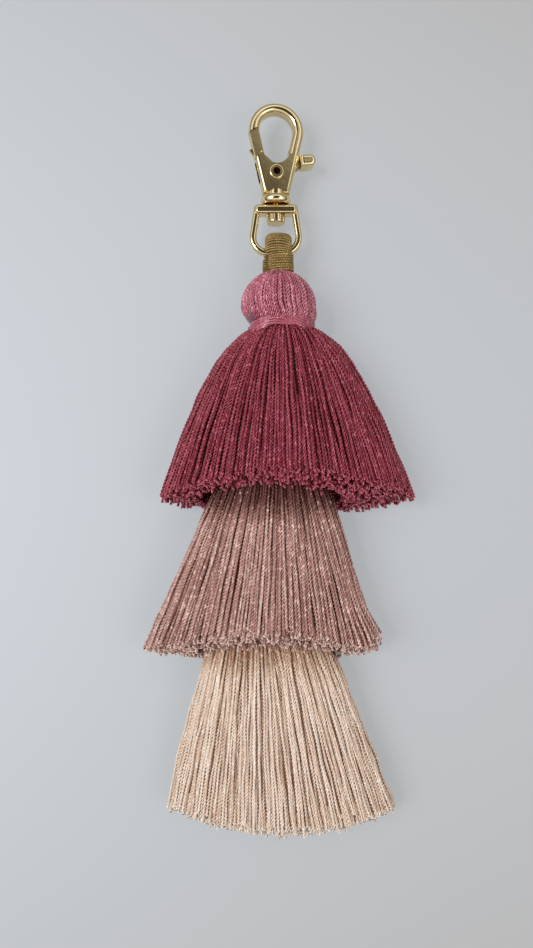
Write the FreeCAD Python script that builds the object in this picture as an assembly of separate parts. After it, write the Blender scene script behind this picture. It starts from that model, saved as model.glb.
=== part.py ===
"""Wristlet keychain: a gold trigger swivel hook, a stirrup ring, a gold-wrapped loop and a tiered tassel.

Units are millimetres. The keychain lies flat on its back: +Y runs along it towards the hook, +Z points up,
and the origin is the middle of its footprint on the surface it lies on.
"""
import FreeCAD
import Part
import math
import os

from FreeCAD import Vector as V

# ---- whole keychain ----
TOTAL_LENGTH = 183.4
LOWEST_Y = -TOTAL_LENGTH / 2

# ---- metal fittings: one straight swivel axis along Y ----
METAL_X = -0.6
METAL_Z = 6.0
HOOK_ROLL = 8.0              # degrees the hook has turned on its swivel, right side down

# trigger hook
HOOK_THICK = 3.6
CROWN_R = 6.8
FRAME_WIDTH = 2.6
EYE_R = CROWN_R - FRAME_WIDTH
CROWN_Y = TOTAL_LENGTH / 2 - CROWN_R
EYE_Y = CROWN_Y + 0.3
EYE_BOTTOM_R = 3.1
EYE_BOTTOM_Y = CROWN_Y - 4.6
BODY_BOTTOM_Y = CROWN_Y - 15.5
BODY_BOTTOM_HALF = 3.3
HOOK_EDGE_R = 1.1
PANEL_DEPTH = 0.35
PANEL_INSET = 0.95
FLANGE_R = 3.75
FLANGE_TALL = 1.9
FLANGE_TOP_Y = BODY_BOTTOM_Y - 0.6
FLANGE_BOTTOM_Y = FLANGE_TOP_Y - FLANGE_TALL

# trigger lever, its rivet and its spring
PIVOT_Y = CROWN_Y - 10.1
GATE_REACH = 11.3            # pivot to the gate's tip
GATE_GAP = 0.2
GATE_THICK = 3.0
GATE_FOOT_REACH = 6.0        # pivot to where the gate enters the body
LEVER_THICK = 0.9
LEVER_SLOT = 1.7
SLOT_REACH = 7.0             # pivot to the slot's round end
HUB_R = 2.1
TAB_LENGTH = 3.9
TAB_WIDTH = 2.9
TAB_EDGE_R = 0.85
TAB_THICK = 4.3
TAB_TILT = 8.0
TAB_INNER_X = 5.95
TAB_RISE = 2.9               # pivot to the tab's centre line, along Y
RIVET_R = 1.2
RIVET_BORE_R = 0.9
RIVET_HEAD_R = 1.75
RIVET_HEAD_TALL = 0.4
RUNNING_GAP = 0.05
SPRING_WIRE = 0.3
SPRING_TURNS = 2
SPRING_COIL_R = 1.55

# swivel rivet
SHANK_R = 1.0
SHANK_DEPTH = 2.6
SWIVEL_HEAD_R = 2.3
SWIVEL_HEAD_TALL = 1.9
SWIVEL_FLUTES = 8

# stirrup ring
CROSSBAR_TALL = 2.3
CROSSBAR_HALF = 5.35
CROSSBAR_THICK = 3.8
CROSSBAR_EDGE_R = 0.8
CROSSBAR_TOP_Y = FLANGE_BOTTOM_Y - 0.15
CROSSBAR_BOTTOM_Y = CROSSBAR_TOP_Y - CROSSBAR_TALL
RING_CORNER_R = 4.7
RING_FLAT_HALF = 1.8
RING_BOTTOM_Y = CROSSBAR_TOP_Y - 12.5
RING_WIRE = 1.7
RING_THICK = 2.2
RING_EDGE_R = 0.7
WIRE_Y = RING_BOTTOM_Y + RING_WIRE / 2

# ---- hanging loop: a wrapped cord bent over the ring ----
LOOP_WIDTH = 6.6
LOOP_THICK = 2.2
LOOP_GAP_HALF = 1.75
LOOP_BEND_Y = WIRE_Y + 1.0
LOOP_FOOT_Y = 50.3
LOOP_EDGE_R = 0.8
LOOP_CORE_WIDTH = 4.8
LOOP_CORE_THICK = 1.0
COLLAR_TOP_Y = 53.9
COLLAR_WALL = 0.4

# ---- tassel ----
HEAD_R = 9.1
HEAD_Z = HEAD_R
HEAD_TOP_Y = LOOP_FOOT_Y
HEAD_WIDEST_Y = 42.4
HEAD_BOTTOM_Y = 38.9
BEAD_R = 6.0
BEAD_HALF_LONG = 4.4
BEAD_Y = 44.3
CORD_R = 1.1
KNOT_R = 2.1
PIVOT_GAP = 0.3              # half the gap between cord lengths at a pivot
SWAY_DEG = 4.0               # how far a lower tier swings to each side inside the one above
SWAY_ROOM = 0.8
NEST_GAP = 0.4               # between one tier and the next, above and below
WRAP_THICK = 0.8
SECTION_POINTS = 20
LOFT_SPANS = 9
SQUARENESS = 0.85


class Tier:
    """One tier of the tassel: a bound head, a wrapped neck and a skirt that fans out."""

    def __init__(self, name, head, wrap, neck_half, neck_x, rim_y, rim_half, rim_x, spread):
        self.name = name
        self.head_top, self.wrap_top, self.neck_y = head, wrap[0], wrap[1]
        self.neck_half, self.neck_x = neck_half, neck_x
        self.rim_y, self.rim_half, self.rim_x = rim_y, rim_half, rim_x
        self.spread = spread

    def share(self, y):
        """How far y is from the neck to the rim, from 0 to a little over 1."""
        return max(0.0, (self.neck_y - y) / (self.neck_y - self.rim_y))

    def half_width(self, y):
        return self.neck_half + (self.rim_half - self.neck_half) * self.share(y) ** self.spread

    def centre_x(self, y):
        return self.neck_x + (self.rim_x - self.neck_x) * self.share(y)


UPPER = Tier("upper", HEAD_TOP_Y, (HEAD_BOTTOM_Y, 35.3), 7.6, 1.2, -8.6, 32.4, 2.1, 0.6)
MIDDLE = Tier("middle", 20.0, (17.0, 14.6), 6.2, -0.8, -46.0, 30.5, -4.4, 0.93)
LOWER = Tier("lower", -12.6, (-15.2, -17.2), 5.6, -3.4, LOWEST_Y, 30.8, 1.6, 0.93)

# height of each skirt above the surface: (y, underside, top), from the neck to past the rim
UPPER_HEIGHTS = [(35.3, 1.6, 16.0), (29.0, 0.4, 17.0), (20.0, 0.0, 17.9), (8.0, 0.0, 18.7),
                 (-12.0, 0.0, 19.2)]
MIDDLE_HEIGHTS = [(14.6, 4.6, 13.4), (5.0, 3.5, 14.9), (-4.0, 3.2, 15.7), (-11.0, 3.2, 16.1),
                  (-23.0, 0.0, 16.4), (-50.0, 0.0, 16.2)]
LOWER_HEIGHTS = [(-17.2, 6.3, 12.7), (-30.0, 3.6, 13.1), (-41.0, 3.1, 13.2), (-49.0, 3.0, 13.2),
                 (-61.0, 0.0, 13.2), (-80.0, 0.0, 12.9), (-96.0, 0.0, 12.4)]
RIM_LEAN = 29.0              # degrees the two upper rims slant, top edge nearer the hook
LOWER_RIM_LEAN = 36.0
UPPER_RIM_R = 250.0
MIDDLE_RIM_R = 200.0
LOWER_RIM_R = 62.0

UPPER_PIVOT = V(0.0, MIDDLE.head_top + 0.8, 8.9)
LOWER_PIVOT = V(-3.2, LOWER.head_top + 0.7, 9.5)


# ---- small helpers ----
def box(x0, x1, y0, y1, z0, z1):
    return Part.makeBox(x1 - x0, y1 - y0, z1 - z0, V(x0, y0, z0))


def slab(wire, z_mid, thick):
    """A flat wire in the XY plane, thickened evenly about z_mid."""
    face = Part.Face(wire)
    face.translate(V(0, 0, z_mid - thick / 2))
    return face.extrude(V(0, 0, thick))


def disc(x, y, radius, thick):
    return Part.makeCylinder(radius, thick, V(x, y, -thick / 2), V(0, 0, 1))


def rod(start, end, radius):
    return Part.makeCylinder(radius, (end - start).Length, start, end - start)


def polygon(points):
    return Part.makePolygon([V(x, y, 0) for x, y in points] + [V(points[0][0], points[0][1], 0)])


def round_flat_edges(solid, radius, half_thick):
    """Fillets every edge that lies in the solid's two flat faces."""
    flat = []
    for edge in solid.Edges:
        bound = edge.BoundBox
        if bound.ZLength < 1e-6 and abs(abs(bound.ZMin) - half_thick) < 1e-6:
            flat.append(edge)
    return solid.makeFillet(radius, flat)


def tapered_outline(top_y, top_r, bottom_y, bottom_r):
    """The outline of a belt round two circles on the Y axis, the smaller one below."""
    lean = math.asin((top_r - bottom_r) / (top_y - bottom_y))
    side = V(math.cos(lean), -math.sin(lean), 0)
    top_right = V(0, top_y, 0) + side * top_r
    bottom_right = V(0, bottom_y, 0) + side * bottom_r
    top_left = V(-top_right.x, top_right.y, 0)
    bottom_left = V(-bottom_right.x, bottom_right.y, 0)
    edges = [
        Part.Arc(top_right, V(0, top_y + top_r, 0), top_left).toShape(),
        Part.LineSegment(top_left, bottom_left).toShape(),
        Part.Arc(bottom_left, V(0, bottom_y - bottom_r, 0), bottom_right).toShape(),
        Part.LineSegment(bottom_right, top_right).toShape(),
    ]
    return Part.Wire(edges)


def hook_outline():
    """The crown's circle with two sides running down to the narrow foot of the body."""
    foot = V(BODY_BOTTOM_HALF, BODY_BOTTOM_Y, 0)
    rise = CROWN_Y - BODY_BOTTOM_Y
    reach = math.hypot(rise, BODY_BOTTOM_HALF)
    angle = math.acos(CROWN_R / reach) - math.atan2(rise, BODY_BOTTOM_HALF)
    touch = V(CROWN_R * math.cos(angle), CROWN_Y + CROWN_R * math.sin(angle), 0)
    left_touch = V(-touch.x, touch.y, 0)
    left_foot = V(-foot.x, foot.y, 0)
    edges = [
        Part.Arc(touch, V(0, CROWN_Y + CROWN_R, 0), left_touch).toShape(),
        Part.LineSegment(left_touch, left_foot).toShape(),
        Part.LineSegment(left_foot, foot).toShape(),
        Part.LineSegment(foot, touch).toShape(),
    ]
    return Part.Wire(edges)


def place_metal(shape, roll=0.0):
    """Moves a part from the swivel axis's own frame to where the metal lies."""
    shape = shape.copy()
    shape.rotate(V(0, 0, 0), V(0, 1, 0), roll)
    shape.translate(V(METAL_X, 0, METAL_Z))
    return shape


# ---- trigger hook ----
def hook_blank():
    """The hook's rounded plate with its eye, before the gate and the slot are cut."""
    plate = slab(hook_outline(), 0, HOOK_THICK)
    eye = slab(tapered_outline(EYE_Y, EYE_R, EYE_BOTTOM_Y, EYE_BOTTOM_R), 0, HOOK_THICK + 2)
    return round_flat_edges(plate.cut(eye), HOOK_EDGE_R, HOOK_THICK / 2)


def gate_region(reach, thick, foot_reach=GATE_FOOT_REACH):
    """The left side of the frame, between two circles about the pivot."""
    ring = disc(0, PIVOT_Y, reach, thick).cut(disc(0, PIVOT_Y, foot_reach, thick))
    return ring.common(box(-20, -1.0, PIVOT_Y + 2.0, CROWN_Y + 5, -thick / 2, thick / 2))


def flange():
    """The round swivel foot under the hook's body, with a bulged edge."""
    bulge = FLANGE_TALL / 2
    mid_y = FLANGE_BOTTOM_Y + bulge
    edge_x = FLANGE_R - 0.5
    top, low = V(edge_x, FLANGE_TOP_Y, 0), V(edge_x, FLANGE_BOTTOM_Y, 0)
    neck_x = BODY_BOTTOM_HALF - 0.9
    outline = [
        Part.LineSegment(V(0, FLANGE_BOTTOM_Y, 0), low).toShape(),
        Part.Arc(low, V(FLANGE_R, mid_y, 0), top).toShape(),
        Part.LineSegment(top, V(neck_x, FLANGE_TOP_Y + 0.4, 0)).toShape(),
        Part.LineSegment(V(neck_x, FLANGE_TOP_Y + 0.4, 0), V(neck_x, BODY_BOTTOM_Y + 0.8, 0)).toShape(),
        Part.LineSegment(V(neck_x, BODY_BOTTOM_Y + 0.8, 0), V(0, BODY_BOTTOM_Y + 0.8, 0)).toShape(),
        Part.LineSegment(V(0, BODY_BOTTOM_Y + 0.8, 0), V(0, FLANGE_BOTTOM_Y, 0)).toShape(),
    ]
    return Part.Face(Part.Wire(outline)).revolve(V(0, 0, 0), V(0, 1, 0), 360)


def panel_cut(side):
    """The shallow panel sunk into one face of the body."""
    top_y = EYE_BOTTOM_Y - 1.0
    bottom_y = BODY_BOTTOM_Y + 0.5
    slope = (CROWN_R - BODY_BOTTOM_HALF) / (CROWN_Y - BODY_BOTTOM_Y)
    half = {y: BODY_BOTTOM_HALF + slope * (y - BODY_BOTTOM_Y) - PANEL_INSET for y in (top_y, bottom_y)}
    outline = polygon([(-half[bottom_y], bottom_y), (half[bottom_y], bottom_y),
                       (half[top_y], top_y), (-half[top_y], top_y)])
    return slab(outline, side * HOOK_THICK / 2, 2 * PANEL_DEPTH)


def lever_slot():
    """The slot between the body's cheeks that the lever swings in."""
    slot = disc(0, PIVOT_Y, SLOT_REACH, LEVER_SLOT)
    return slot.common(box(-9, 9, PIVOT_Y - 2.6, CROWN_Y, -LEVER_SLOT / 2, LEVER_SLOT / 2))


def hook_body():
    body = hook_blank().fuse(flange())
    body = body.cut(gate_region(GATE_REACH + GATE_GAP, HOOK_THICK + 2, GATE_FOOT_REACH - GATE_GAP))
    body = body.cut(panel_cut(1)).cut(panel_cut(-1))
    body = body.cut(lever_slot())
    body = body.cut(disc(0, PIVOT_Y, RIVET_R, HOOK_THICK + 2))
    bore_top = V(0, FLANGE_BOTTOM_Y + SHANK_DEPTH, 0)
    return body.cut(rod(V(0, FLANGE_BOTTOM_Y - 1, 0), bore_top, SHANK_R)).removeSplitter()


# ---- trigger lever, rivet and spring ----
def gate():
    """The lever's closing arm, which fills the gap in the hook's left side."""
    return hook_blank().common(gate_region(GATE_REACH, GATE_THICK, GATE_FOOT_REACH + 0.1))


def thumb_tab():
    """The rounded tab that the thumb pulls."""
    half = TAB_WIDTH / 2
    end_x = TAB_LENGTH - half
    outline = Part.Wire([
        Part.LineSegment(V(0, -half, 0), V(end_x, -half, 0)).toShape(),
        Part.Arc(V(end_x, -half, 0), V(TAB_LENGTH, 0, 0), V(end_x, half, 0)).toShape(),
        Part.LineSegment(V(end_x, half, 0), V(0, half, 0)).toShape(),
        Part.LineSegment(V(0, half, 0), V(0, -half, 0)).toShape(),
    ])
    tab = round_flat_edges(slab(outline, 0, TAB_THICK), TAB_EDGE_R, TAB_THICK / 2)
    tab.rotate(V(0, 0, 0), V(0, 0, 1), TAB_TILT)
    tab.translate(V(TAB_INNER_X, PIVOT_Y + TAB_RISE, 0))
    return tab


def lever_web():
    """The thin plate inside the body, from the gate's foot over the hub to the tab."""
    gate_foot = [(-6.6, 5.4), (-4.7, 6.3)]
    tab_root = [(TAB_INNER_X + 0.8, TAB_RISE + 1.0), (TAB_INNER_X + 0.8, TAB_RISE - 1.0)]
    hub_side = [(1.2, -1.4), (-1.6, -1.0)]
    points = gate_foot + [(0.0, 2.2)] + tab_root + hub_side
    plate = slab(polygon([(x, PIVOT_Y + y) for x, y in points]), 0, LEVER_THICK)
    return plate.fuse(disc(0, PIVOT_Y, HUB_R, LEVER_THICK))


def lever_offset():
    """The lever's plate lies against the slot's back cheek, which leaves room for the spring in front."""
    return -(LEVER_SLOT - LEVER_THICK) / 2 + RUNNING_GAP


def trigger_lever():
    web = lever_web()
    web.translate(V(0, 0, lever_offset()))
    lever = web.fuse(gate()).fuse(thumb_tab())
    return lever.cut(disc(0, PIVOT_Y, RIVET_R + RUNNING_GAP, HOOK_THICK)).removeSplitter()


def trigger_rivet():
    """A hollow rivet with a rolled head on each face of the body."""
    face_z = HOOK_THICK / 2 - PANEL_DEPTH
    shank = disc(0, PIVOT_Y, RIVET_R, 2 * face_z)
    for side in (-1, 1):
        head = Part.makeCylinder(RIVET_HEAD_R, RIVET_HEAD_TALL, V(0, PIVOT_Y, 0), V(0, 0, 1))
        rim = [e for e in head.Edges if abs(e.BoundBox.ZMin - RIVET_HEAD_TALL) < 1e-6]
        head = head.makeFillet(0.3, rim)
        if side < 0:
            head.rotate(V(0, PIVOT_Y, 0), V(0, 1, 0), 180)
        head.translate(V(0, 0, side * face_z))
        shank = shank.fuse(head)
    return shank.cut(disc(0, PIVOT_Y, RIVET_BORE_R, HOOK_THICK + 2)).removeSplitter()


def trigger_spring():
    """A torsion coil round the rivet, in front of the lever's plate, its turns pressed together."""
    pitch = SPRING_WIRE * 0.85
    top_z = LEVER_SLOT / 2 - SPRING_WIRE / 2 - RUNNING_GAP
    turns = [Part.makeTorus(SPRING_COIL_R, SPRING_WIRE / 2, V(0, PIVOT_Y, top_z - pitch * i))
             for i in range(SPRING_TURNS)]
    return turns[0].multiFuse(turns[1:])


# ---- swivel rivet and stirrup ring ----
def swivel_rivet():
    """The fluted rivet that holds the ring under the hook's flange."""
    head_top = CROSSBAR_BOTTOM_Y - 0.2
    head_low = V(0, head_top - SWIVEL_HEAD_TALL, 0)
    head = rod(V(0, head_top, 0), head_low, SWIVEL_HEAD_R)
    head = head.makeFillet(0.35, [e for e in head.Edges if abs(e.BoundBox.YMax - head_low.y) < 1e-6])
    for i in range(SWIVEL_FLUTES):
        turn = 2 * math.pi * (i + 0.5) / SWIVEL_FLUTES
        side = V(math.cos(turn), 0, math.sin(turn)) * (SWIVEL_HEAD_R + 0.45)
        head = head.cut(rod(V(0, head_top + 1, 0) + side, V(0, head_low.y + 0.5, 0) + side, 0.65))
    shank = rod(V(0, head_top - 0.5, 0), V(0, FLANGE_BOTTOM_Y + SHANK_DEPTH, 0), SHANK_R)
    return head.fuse(shank).removeSplitter()


def stirrup_outline():
    """The ring's outer edge: a straight crossbar, two slanting arms and a bow with a short flat foot."""
    right = V(RING_FLAT_HALF, RING_BOTTOM_Y + RING_CORNER_R, 0)
    shoulder = V(CROSSBAR_HALF, CROSSBAR_TOP_Y, 0)
    towards = shoulder - right
    angle = math.atan2(towards.y, towards.x) - math.acos(RING_CORNER_R / towards.Length)
    mid = (angle - math.pi / 2) / 2
    touch = right + V(math.cos(angle), math.sin(angle), 0) * RING_CORNER_R
    bend = right + V(math.cos(mid), math.sin(mid), 0) * RING_CORNER_R
    foot = V(RING_FLAT_HALF, RING_BOTTOM_Y, 0)
    shoulder_l, touch_l, bend_l, foot_l = (V(-p.x, p.y, 0) for p in (shoulder, touch, bend, foot))
    edges = [
        Part.LineSegment(shoulder_l, shoulder).toShape(),
        Part.LineSegment(shoulder, touch).toShape(),
        Part.Arc(touch, bend, foot).toShape(),
        Part.LineSegment(foot, foot_l).toShape(),
        Part.Arc(foot_l, bend_l, touch_l).toShape(),
        Part.LineSegment(touch_l, shoulder_l).toShape(),
    ]
    return Part.Wire(edges)


def swivel_ring():
    outer = stirrup_outline()
    inner = outer.makeOffset2D(-RING_WIRE, 2)
    bow = slab(outer, 0, RING_THICK).cut(slab(inner, 0, RING_THICK + 2))
    bow = round_flat_edges(bow, RING_EDGE_R, RING_THICK / 2)
    bar = box(-CROSSBAR_HALF + 0.2, CROSSBAR_HALF - 0.2, CROSSBAR_BOTTOM_Y, CROSSBAR_TOP_Y,
              -CROSSBAR_THICK / 2, CROSSBAR_THICK / 2)
    bar = bar.makeFillet(CROSSBAR_EDGE_R, bar.Edges)
    hole = rod(V(0, CROSSBAR_BOTTOM_Y - 3, 0), V(0, CROSSBAR_TOP_Y + 1, 0), SHANK_R + RUNNING_GAP)
    return bow.fuse(bar).cut(hole).removeSplitter()


# ---- hanging loop ----
def u_bend(width, inner_half, thick, foot_y):
    """A flat strip bent into a U that is open towards the head; the ring's wire lies in its bend."""
    outer = inner_half + thick
    edges = []
    for half, sign in ((outer, 1), (inner_half, -1)):
        crest = V(0, LOOP_BEND_Y + half, 0)
        edges.append(Part.Arc(V(0, LOOP_BEND_Y, -half), crest, V(0, LOOP_BEND_Y, half)))
        edges.append(Part.LineSegment(V(0, LOOP_BEND_Y, sign * half), V(0, foot_y, sign * half)))
        edges.append(Part.LineSegment(V(0, LOOP_BEND_Y, -sign * half), V(0, foot_y, -sign * half)))
    for sign in (-1, 1):
        edges.append(Part.LineSegment(V(0, foot_y, sign * inner_half), V(0, foot_y, sign * outer)))
    wire = Part.Wire(Part.__sortEdges__([e.toShape() for e in edges]))
    strip = Part.Face(wire).extrude(V(width, 0, 0))
    strip.translate(V(-width / 2, 0, METAL_Z))
    return strip


def loop_core():
    inner_half = LOOP_GAP_HALF + (LOOP_THICK - LOOP_CORE_THICK) / 2
    return u_bend(LOOP_CORE_WIDTH, inner_half, LOOP_CORE_THICK, LOOP_FOOT_Y)


def loop_wrap():
    """The gold thread wound round the loop's core."""
    strip = u_bend(LOOP_WIDTH, LOOP_GAP_HALF, LOOP_THICK, LOOP_FOOT_Y)
    sides = [e for e in strip.Edges if e.BoundBox.XLength < 1e-6 and e.BoundBox.YLength > 1.0]
    return strip.makeFillet(LOOP_EDGE_R, sides).cut(loop_core())


def collar_wrap():
    """The gold binding round both legs of the loop, just above the head."""
    half_x = LOOP_WIDTH / 2
    half_z = LOOP_GAP_HALF + LOOP_THICK
    outer = box(-half_x - COLLAR_WALL, half_x + COLLAR_WALL, LOOP_FOOT_Y, COLLAR_TOP_Y,
                METAL_Z - half_z - COLLAR_WALL, METAL_Z + half_z + COLLAR_WALL)
    inner = box(-half_x, half_x, LOOP_FOOT_Y - 1, COLLAR_TOP_Y + 1, METAL_Z - half_z, METAL_Z + half_z)
    long_edges = [e for e in outer.Edges if e.BoundBox.YLength > 1.0]
    return outer.makeFillet(1.1, long_edges).cut(inner)


# ---- tassel ----
def flat_oval(centre_x, y, half_width, z_low, z_high):
    """A closed, slightly squared oval across the tassel."""
    mid, half_tall = (z_low + z_high) / 2, (z_high - z_low) / 2
    points = []
    for i in range(SECTION_POINTS):
        turn = 2 * math.pi * (i + 0.5) / SECTION_POINTS
        across, up = math.cos(turn), math.sin(turn)
        points.append(V(centre_x + half_width * math.copysign(abs(across) ** SQUARENESS, across), y,
                        mid + half_tall * math.copysign(abs(up) ** SQUARENESS, up)))
    curve = Part.BSplineCurve()
    curve.interpolate(points, PeriodicFlag=True)
    return Part.Wire(curve.toShape())


def between(heights, y):
    """The underside and top at y, on straight lines between the given stations."""
    for (y0, low0, high0), (y1, low1, high1) in zip(heights, heights[1:]):
        if y >= y1:
            t = max(0.0, (y0 - y) / (y0 - y1))
            return low0 + (low1 - low0) * t, high0 + (high1 - high0) * t
    return heights[-1][1:]


def fan(tier, heights):
    """Straight-sided spans between ovals, closer together near the neck where the fan opens fastest."""
    first, last = heights[0][0], heights[-1][0]
    sections = []
    for i in range(LOFT_SPANS + 1):
        y = first + (last - first) * (i / LOFT_SPANS) ** 1.3
        low, high = between(heights, y)
        sections.append(flat_oval(tier.centre_x(y), y, tier.half_width(y), low, high))
    return Part.makeLoft(sections, True, True)


def nest(inner, heights, pivot, last_y):
    """The hollow in a skirt that the next tier lies in, with room to swing about its pivot."""
    first_y = inner.head_top + 2.2
    sections = []
    for i in range(LOFT_SPANS + 1):
        y = first_y + (last_y - first_y) * i / LOFT_SPANS
        low, high = between(heights, y)
        room = SWAY_ROOM + math.tan(math.radians(SWAY_DEG)) * abs(pivot.y - y)
        half_width = inner.half_width(y) + room
        sections.append(flat_oval(inner.centre_x(y), y, half_width, low - NEST_GAP, high + NEST_GAP))
    return Part.makeLoft(sections, True, True)


def oval_post(tier, y_low, y_high, heights_at_neck, thinner):
    """A straight oval length at a tier's neck."""
    low, high = heights_at_neck
    base = Part.Face(flat_oval(tier.neck_x, y_low, tier.neck_half - thinner, low + thinner, high - thinner))
    return base.extrude(V(0, y_high - y_low, 0))


def rim_cutter(tier, lean, radius):
    """A leaning drum whose wall trims a skirt's rim."""
    along = V(0, math.sin(math.radians(lean)), math.cos(math.radians(lean)))
    inward = V(0, along.z, -along.y)
    centre = V(tier.rim_x, tier.rim_y, 0) + inward * radius - along * 150
    return Part.makeCylinder(radius, 400, centre, along)


def neck_wrap(tier, neck_heights):
    outer = oval_post(tier, tier.neck_y, tier.wrap_top, neck_heights, 0.0)
    return outer.cut(oval_post(tier, tier.neck_y - 1, tier.wrap_top + 1, neck_heights, WRAP_THICK))


def skirt(tier, heights, cutter, hollow=None):
    threads = fan(tier, heights)
    if hollow:
        threads = threads.cut(hollow)
    threads = threads.common(cutter)
    return threads.fuse(oval_post(tier, tier.neck_y, tier.wrap_top, heights[0][1:], WRAP_THICK))


def small_head(tier, neck_heights):
    """The bound top of a lower tier: a low dome on the neck."""
    low, high = neck_heights
    middle, lift = (high + low) / 2, (high - low) / 2
    length = tier.head_top - tier.wrap_top
    sections = []
    for share, scale in ((0.0, 1.0), (0.45, 0.93), (0.8, 0.7), (1.0, 0.4)):
        y = tier.wrap_top + length * share
        dip, rise = middle - lift * scale, middle + lift * scale
        sections.append(flat_oval(tier.neck_x, y, tier.neck_half * scale, dip, rise))
    return Part.makeLoft(sections, True, False)


def head_cover():
    """The ball of threads drawn over the bead."""
    top = V(2.4, HEAD_TOP_Y, 0)
    wide = V(HEAD_R, HEAD_WIDEST_Y, 0)
    low = V(8.2, HEAD_BOTTOM_Y, 0)
    side = Part.BSplineCurve()
    side.interpolate([top, V(5.6, HEAD_TOP_Y - 1.2, 0), V(8.1, HEAD_WIDEST_Y + 4.0, 0), wide,
                      V(8.95, HEAD_BOTTOM_Y + 1.6, 0), low])
    axis_low, axis_top = V(0, HEAD_BOTTOM_Y, 0), V(0, HEAD_TOP_Y, 0)
    edges = [side.toShape(), Part.LineSegment(low, axis_low).toShape(),
             Part.LineSegment(axis_low, axis_top).toShape(), Part.LineSegment(axis_top, top).toShape()]
    ball = Part.Face(Part.Wire(edges)).revolve(V(0, 0, 0), V(0, 1, 0), 360)
    ball.translate(V(0, 0, HEAD_Z))
    return ball


def head_bead():
    """The wooden bead that gives the top of the tassel its round shape."""
    low, top = V(0, BEAD_Y - BEAD_HALF_LONG, 0), V(0, BEAD_Y + BEAD_HALF_LONG, 0)
    rim_r = BEAD_R * 0.35
    low_rim, top_rim = low + V(rim_r, 0, 0), top + V(rim_r, 0, 0)
    edges = [Part.Arc(low_rim, V(BEAD_R, BEAD_Y, 0), top_rim).toShape(),
             Part.LineSegment(top_rim, top).toShape(), Part.LineSegment(top, low).toShape(),
             Part.LineSegment(low, low_rim).toShape()]
    bead = Part.Face(Part.Wire(edges)).revolve(V(0, 0, 0), V(0, 1, 0), 360)
    bead.translate(V(0, 0, HEAD_Z))
    return bead


def knot(centre):
    return Part.makeSphere(KNOT_R, centre)


def tassel_parts():
    """Every soft piece, each cut back so that none overlaps its neighbours."""
    upper_neck, middle_neck, lower_neck = (h[0][1:] for h in (UPPER_HEIGHTS, MIDDLE_HEIGHTS, LOWER_HEIGHTS))
    gap = V(0, PIVOT_GAP, 0)
    centre_cord = rod(V(0, COLLAR_TOP_Y - 0.6, METAL_Z), UPPER_PIVOT + gap, CORD_R)
    middle_cord = rod(UPPER_PIVOT - gap, LOWER_PIVOT + gap, CORD_R)
    lower_end = V(LOWER.neck_x, LOWER.neck_y - 8.0, LOWER_PIVOT.z)
    lower_cord = rod(LOWER_PIVOT - gap, lower_end, CORD_R)
    middle_knot = knot(V(-0.9, MIDDLE.neck_y - 4.5, 9.1)).cut(middle_cord)
    end_knot = knot(lower_end).cut(lower_cord)
    upper_nest = nest(MIDDLE, MIDDLE_HEIGHTS, UPPER_PIVOT, UPPER.rim_y - 4)
    middle_nest = nest(LOWER, LOWER_HEIGHTS, LOWER_PIVOT, MIDDLE.rim_y - 4)
    upper_skirt = skirt(UPPER, UPPER_HEIGHTS, rim_cutter(UPPER, RIM_LEAN, UPPER_RIM_R), upper_nest)
    middle_skirt = skirt(MIDDLE, MIDDLE_HEIGHTS, rim_cutter(MIDDLE, RIM_LEAN, MIDDLE_RIM_R), middle_nest)
    lower_skirt = skirt(LOWER, LOWER_HEIGHTS, rim_cutter(LOWER, LOWER_RIM_LEAN, LOWER_RIM_R))
    return {
        "centre_cord": centre_cord,
        "head_bead": head_bead().cut(centre_cord),
        "upper_head": head_cover().cut(head_bead()).cut(centre_cord),
        "upper_neck_wrap": neck_wrap(UPPER, upper_neck),
        "upper_skirt": upper_skirt.cut(centre_cord),
        "middle_cord": middle_cord,
        "middle_knot": middle_knot,
        "middle_head": small_head(MIDDLE, middle_neck).cut(middle_cord),
        "middle_neck_wrap": neck_wrap(MIDDLE, middle_neck),
        "middle_skirt": middle_skirt.cut(middle_cord).cut(middle_knot),
        "lower_cord": lower_cord,
        "end_knot": end_knot,
        "lower_head": small_head(LOWER, lower_neck).cut(lower_cord),
        "lower_neck_wrap": neck_wrap(LOWER, lower_neck),
        "lower_skirt": lower_skirt.cut(lower_cord).cut(end_knot),
    }


def metal_parts():
    return {
        "hook_body": place_metal(hook_body(), HOOK_ROLL),
        "trigger_lever": place_metal(trigger_lever(), HOOK_ROLL),
        "trigger_rivet": place_metal(trigger_rivet(), HOOK_ROLL),
        "trigger_spring": place_metal(trigger_spring(), HOOK_ROLL),
        "swivel_rivet": place_metal(swivel_rivet(), HOOK_ROLL),
        "swivel_ring": place_metal(swivel_ring()),
    }


def main():
    os.makedirs("parts", exist_ok=True)
    parts = metal_parts()
    parts["loop_core"] = loop_core()
    parts["loop_wrap"] = loop_wrap()
    parts["collar_wrap"] = collar_wrap()
    parts.update(tassel_parts())
    whole = FreeCAD.BoundBox()
    for name, shape in parts.items():
        whole.add(shape.optimalBoundingBox(False, False))
        shape.exportStep("parts/" + name + ".step")
        print(f"{name:18s} solids {len(shape.Solids)} volume {shape.Volume:9.2f} valid {shape.isValid()}")
    for axis in "XYZ":
        low, high = getattr(whole, axis + "Min"), getattr(whole, axis + "Max")
        print(f"{axis} {low:.2f} to {high:.2f}")


main()
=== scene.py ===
"""Looks of a wristlet keychain: gold fittings, a wound loop, a thread-covered ball and three tiers."""
import math
import random

import bmesh
import bpy
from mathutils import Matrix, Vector, noise


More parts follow.
